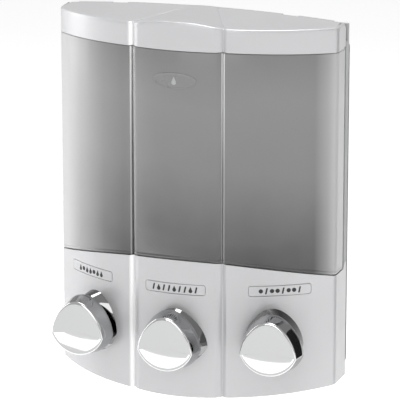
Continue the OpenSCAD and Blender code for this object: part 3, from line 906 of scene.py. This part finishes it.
def make_lid():
    """The silver lid: a skirt with three lobes, a raised fan in the middle and creases from the seams."""
    rows_back = 14
    edge_r = 1.5
    front = front_path(0.0)
    inner = front_path(edge_r)
    bm = bmesh.new()

    # the top, as lines from each front point back to the rear edge
    columns = []
    for (xf, df), (x0, _) in zip(inner, front):
        column = []
        for k in range(rows_back + 1):
            t = k / rows_back
            x = xf + (rear_x(xf) * (HALF_W - edge_r) / HALF_W - xf) * t
            d = df + (PIVOT_DEPTH - df) * t
            column.append(at(x, d, lid_height(x, d, x0)))
        columns.append(column)
    add_grid(bm, columns)

    # the rounded edge and the skirt, over the whole path
    depths = [p[1] for p in inner]
    last = depths[-1]
    sides = [last + (PIVOT_DEPTH - last) * k / rows_back for k in range(1, rows_back + 1)]
    path = [(-HALF_W, d) for d in reversed(sides)] + front + [(HALF_W, d) for d in sides]
    inset_path = [(-HALF_W + edge_r, d) for d in reversed(sides)] + inner
    inset_path += [(HALF_W - edge_r, d) for d in sides]
    rows = []
    for a in (90, 67.5, 45, 22.5, 0):
        s, c = math.sin(math.radians(a)), math.cos(math.radians(a))
        row = []
        for (x, d), (xi, di) in zip(path, inset_path):
            z = lid_height(xi, di, x)
            row.append(at(xi + (x - xi) * c, di + (d - di) * c, z - edge_r * (1 - s)))
        rows.append(row)
    top_row = rows[-1]
    for k in range(1, 9):
        t = k / 8
        rows.append([p.lerp(at(x, d, arch(LID_Z, LID_DROP, x)), t) for p, (x, d) in zip(top_row, path)])
    add_grid(bm, rows)
    obj = new_object("lid_cover", bm, 28)
    solidify(obj, COVER_T)
    apply_modifiers(obj)
    cutters = []
    for side in (-1, 1):
        lug = sorted((side * 60.1, side * 71.9))
        cutters.append(block("notch_low", (lug[0], 0, 250), (lug[1], 19.0, 273.4)))
        cutters.append(block("notch_top", (lug[0], 0, 260), (lug[1], 14.6, 300)))
    cut(obj, cutters)
    bevel(obj, 0.4, 3, 50)
    finish_piece(obj, "lid", "silver_plastic", ["lid"])
    for side in (-1, 1):
        span = sorted((side * (HALF_W - 0.12), side * (HALF_W - COVER_T)))
        name = "lid_end_" + ("left" if side < 0 else "right")
        end = block(name, (span[0], 10.6, 256.6), (span[1], 15.0, PIVOT_Z))
        bevel(end, 0.3, 3, 60)
        finish_piece(end, "lid", "silver_plastic")
    make_hinge_barrels()


def make_hinge_barrels():
    """The barrel along the lid's rear edge, in three lengths between the lugs, each with its rear lip."""
    end = HALF_W - 0.25
    for k, (x0, x1) in enumerate(((-end, -72.1), (-59.9, 59.9), (72.1, end))):
        lip0, lip1 = max(x0, -98.8), min(x1, 98.8)
        bm = bmesh.new()
        rows = []
        steps = 28
        for j in range(steps + 1):
            x = x0 + (x1 - x0) * j / steps
            row = []
            for a in range(0, 360, 15):
                row.append(at(x, PIVOT_DEPTH + BARREL_R * math.cos(math.radians(a)),
                              PIVOT_Z + BARREL_R * math.sin(math.radians(a))))
            rows.append(row)
        rings = add_grid(bm, rows, closed=True)
        cap(bm, rings[0])
        cap(bm, rings[-1])
        barrel = new_object("lid_barrel_%d" % (k + 1), bm, 40)
        bevel(barrel, 0.4, 2, 60)
        finish_piece(barrel, "lid", "silver_plastic")
        bm = bmesh.new()
        rows = []
        for j in range(steps + 1):
            x = lip0 + (lip1 - lip0) * j / steps
            top = lid_height(x, PIVOT_DEPTH, x * 3.3 if abs(x) < 10.5 else HALF_W)
            section = ((PIVOT_DEPTH + 0.5, top), (12.2, top), (11.6, top - 0.25), (11.25, top - 0.9),
                       (11.2, PIVOT_Z + 0.5), (13.0, PIVOT_Z + 0.5), (PIVOT_DEPTH + 0.5, PIVOT_Z + 2))
            rows.append([at(x, d, z) for d, z in section])
        rings = add_grid(bm, rows, closed=True)
        cap(bm, rings[0])
        cap(bm, rings[-1])
        lip = new_object("lid_lip_%d" % (k + 1), bm, 40)
        finish_piece(lip, "lid", "silver_plastic")


# ---------------------------------------------------------------- buttons

def make_cap(name, i):
    """A chrome cap: slightly flared side wall, chamfered edge and a softly domed face, hollow behind."""
    face = CAP_DEPTH - 0.95
    sections = [(1.6, 0.35), (0.9, 0.0), (0.35, 0.06), (0.06, 0.35), (0.0, 0.8)]
    sections += [(0.1 + (CAP_TAPER - 0.1) * t, 0.8 + (face - 2.2) * t) for t in (0.25, 0.5, 0.75, 1.0)]
    sections += [(CAP_TAPER + more, face - back)
                 for more, back in ((0.08, 1.0), (0.28, 0.66), (0.6, 0.36), (1.0, 0.14), (1.5, -0.04))]
    bm = bmesh.new()
    rows = [button_section(3.6, CAP_DEPTH - 2.4)]
    rows += [button_section(inset, out) for inset, out in sections]
    for k in (0.93, 0.85, 0.75, 0.63, 0.5, 0.37, 0.24, 0.12):
        out = face + 0.04 + 0.9 * (1 - k * k)
        base = button_ring(3.7)
        height = [BUTTON_MIDDLE + (up - BUTTON_MIDDLE) * k - AXIS_UP for _, up in base]
        rows.append([Vector((x * k * MM, -out * MM, z * MM)) for (x, _), z in zip(base, height)])
    rings = add_grid(bm, rows, closed=True)
    cap(bm, rings[-1])
    cap(bm, rings[0])
    obj = new_object("button_shell_" + name, bm, 32)
    obj.data.transform(channel_matrix(i))
    body = "button_" + name
    finish_piece(obj, body, "chrome_plastic", ["button_cap_" + name])
    profile = [(4.0, -6.4), (6.2, -6.4), (6.5, -6.1), (6.5, -2.2), (4.0, -2.2)]
    boss = turned("button_boss_" + name, i, [(r, CAP_DEPTH + out) for r, out in profile])
    finish_piece(boss, body, "chrome_plastic")


def turned(name, i, profile, segments=40):
    """A ring turned from (radius, out) points round a channel's axis."""
    bm = bmesh.new()
    rows = []
    for k in range(segments + 1):
        a = 2 * math.pi * (k % segments) / segments
        rows.append([Vector((r * math.cos(a) * MM, -out * MM, r * math.sin(a) * MM)) for r, out in profile])
    add_grid(bm, rows, closed=True)
    obj = new_object(name, bm, 35)
    obj.data.transform(channel_matrix(i))
    return obj


def make_collar(name, i):
    """The chrome neck, lofted from the lobe to the inside of the cap."""
    lean = 0.0 if i == 0 else i * math.degrees(math.atan2(SIDE_RIM[0] - SIDE_C[0], SIDE_RIM[1] - SIDE_C[1]))
    deep = MID_RIM - MID_C[1] - MID_R if i == 0 else math.hypot(SIDE_RIM[0] - SIDE_C[0],
                                                               SIDE_RIM[1] - SIDE_C[1]) - SIDE_R
    to_world = channel_matrix(i)
    foot_turn = Matrix.Translation(to_world.translation) @ Matrix.Rotation(math.radians(lean), 4, "Z")
    foot_matrix = foot_turn @ Matrix.Translation((0, (deep + 4) * MM, 0))
    foot = [foot_matrix @ p for p in button_section(-NECK_FOOT, 0)]
    rim = [to_world @ p for p in button_section(NECK_INSET, -4.95)]
    levels = [(12, 1.95), (4.0, 1.95), (3.5, 1.8)] + [(NECK_INSET, out) for out in (1.4, 0, -2.5, -4.6)]
    rows = [[to_world @ p for p in button_section(inset, out)] for inset, out in levels]
    rows += [[a.lerp(b, k / 8) for a, b in zip(rim, foot)] for k in range(9)]
    bm = bmesh.new()
    add_grid(bm, rows, closed=True)
    obj = new_object("collar_" + name, bm, 32)
    # the neck takes the darker copy of the chrome, which is painted shade
    finish_piece(obj, "unit", "chrome_plastic", ["button_collar_" + name], SHADED_NECK_CHROME)


# ---------------------------------------------------------------- carried-over parts

def dress_frame():
    """Gives each CAD node its material, smooth shading and softened edges."""
    slots = {part["node"]: part["material_slot"] for part in frame["record"]["subparts"]}
    for node, obj in frame["nodes"].items():
        obj.data.materials.clear()
        obj.data.materials.append(MATERIALS[slots[node]])
        for face in obj.data.polygons:
            face.use_smooth = True
        obj.data.set_sharp_from_angle(angle=math.radians(30))
    for node in ("wall_plate", "chassis"):
        bevel(frame["nodes"][node], 0.5, 2, 50)


# ---------------------------------------------------------------- stage and light

def plane(name, size, place, mat):
    """A flat square for the stage."""
    bm = bmesh.new()
    h = size / 2
    add_grid(bm, [[Vector((-h, -h, 0)), Vector((h, -h, 0))], [Vector((-h, h, 0)), Vector((h, h, 0))]])
    obj = new_object(name, bm, 30)
    obj.location = place
    obj.data.materials.append(mat)
    return obj


def area_light(name, place, target, size, power, color=(1, 1, 1)):
    """A square soft light that points at a target."""
    data = bpy.data.lights.new(name, "AREA")
    data.shape = "RECTANGLE"
    data.size, data.size_y = size
    data.energy = power
    data.color = color
    lamp = bpy.data.objects.new(name, data)
    lamp.location = place
    lamp.rotation_euler = (Vector(target) - Vector(place)).to_track_quat("-Z", "Y").to_euler()
    bpy.context.scene.collection.objects.link(lamp)
    return lamp


def card(name, place, target, size, color, emission=0.0):
    """A flat card that the chrome reflects and the camera doesn't see."""
    mat, _, shader = material(name, color, 0.9)
    if emission:
        shader.inputs["Emission Color"].default_value = (1, 1, 1, 1)
        shader.inputs["Emission Strength"].default_value = emission
    obj = plane(name, 1.0, place, mat)
    obj.scale = (size[0], size[1], 1)
    obj.rotation_euler = (Vector(target) - Vector(place)).to_track_quat("Z", "Y").to_euler()
    obj.visible_camera = False
    obj.visible_shadow = False
    obj.visible_diffuse = False
    return obj


def make_stage():
    """A pale floor well below the dispenser, pale surroundings, soft lights, and cards for the chrome."""
    floor_mat, tree, shader = material("floor", (0.9, 0.9, 0.9), 0.9)
    tree.links.new(ramp(tree, noise(tree, 3, 3), [(0.3, 0.89), (0.7, 0.91)]), shader.inputs["Base Color"])
    shader.inputs["Emission Color"].default_value = (1, 1, 1, 1)
    shader.inputs["Emission Strength"].default_value = 0.46
    plane("floor", 60.0, (0, 0, -0.42), floor_mat)

    world = bpy.data.worlds.new("surroundings")
    world.use_nodes = True
    world.node_tree.nodes["Background"].inputs["Color"].default_value = (1, 1, 1, 1)
    world.node_tree.nodes["Background"].inputs["Strength"].default_value = 0.42
    bpy.context.scene.world = world

    area_light("key", (-2.3, 0.05, 0.3), (0, -0.05, 0), (0.8, 2.2), 13)
    area_light("front", (0.1, -2.8, 0.9), (0, 0, 0), (1.8, 1.4), 13)
    area_light("right", (2.2, -1.5, 0.6), (0, 0, 0), (1.2, 1.2), 2)
    area_light("top", (0.1, 0.1, 2.0), (0, 0, 0), (1.4, 1.4), 30)
    # what the buttons' faces mirror: grey far off, then a bright strip, and grey again near the wall
    card("mist", (-1.5, -3.55, -0.41), (-1.5, -3.55, 1), (5.0, 5.5), (0, 0, 0), 0.74)
    card("glow", (-0.3, -0.69, -0.405), (-0.3, -0.69, 1), (1.5, 0.2), (0, 0, 0), 1.35)
    card("near", (-0.3, -0.42, -0.41), (-0.3, -0.42, 1), (2.0, 0.38), (0, 0, 0), 0.7)
    card("shade_right", (0.8, 0.5, -0.1), (0, -0.1, -0.1), (0.7, 0.9), (0.01, 0.01, 0.01))
    scene = bpy.context.scene
    scene.view_settings.view_transform = "Standard"
    scene.view_settings.look = "None"


# ---------------------------------------------------------------- build

dress_frame()
make_fascia()
make_labels()
for side_name, side_sign in SIDES.items():
    make_container(side_name, side_sign)
    make_collar(side_name, side_sign)
    make_cap(side_name, side_sign)
make_badge()
make_lid()
make_stage()
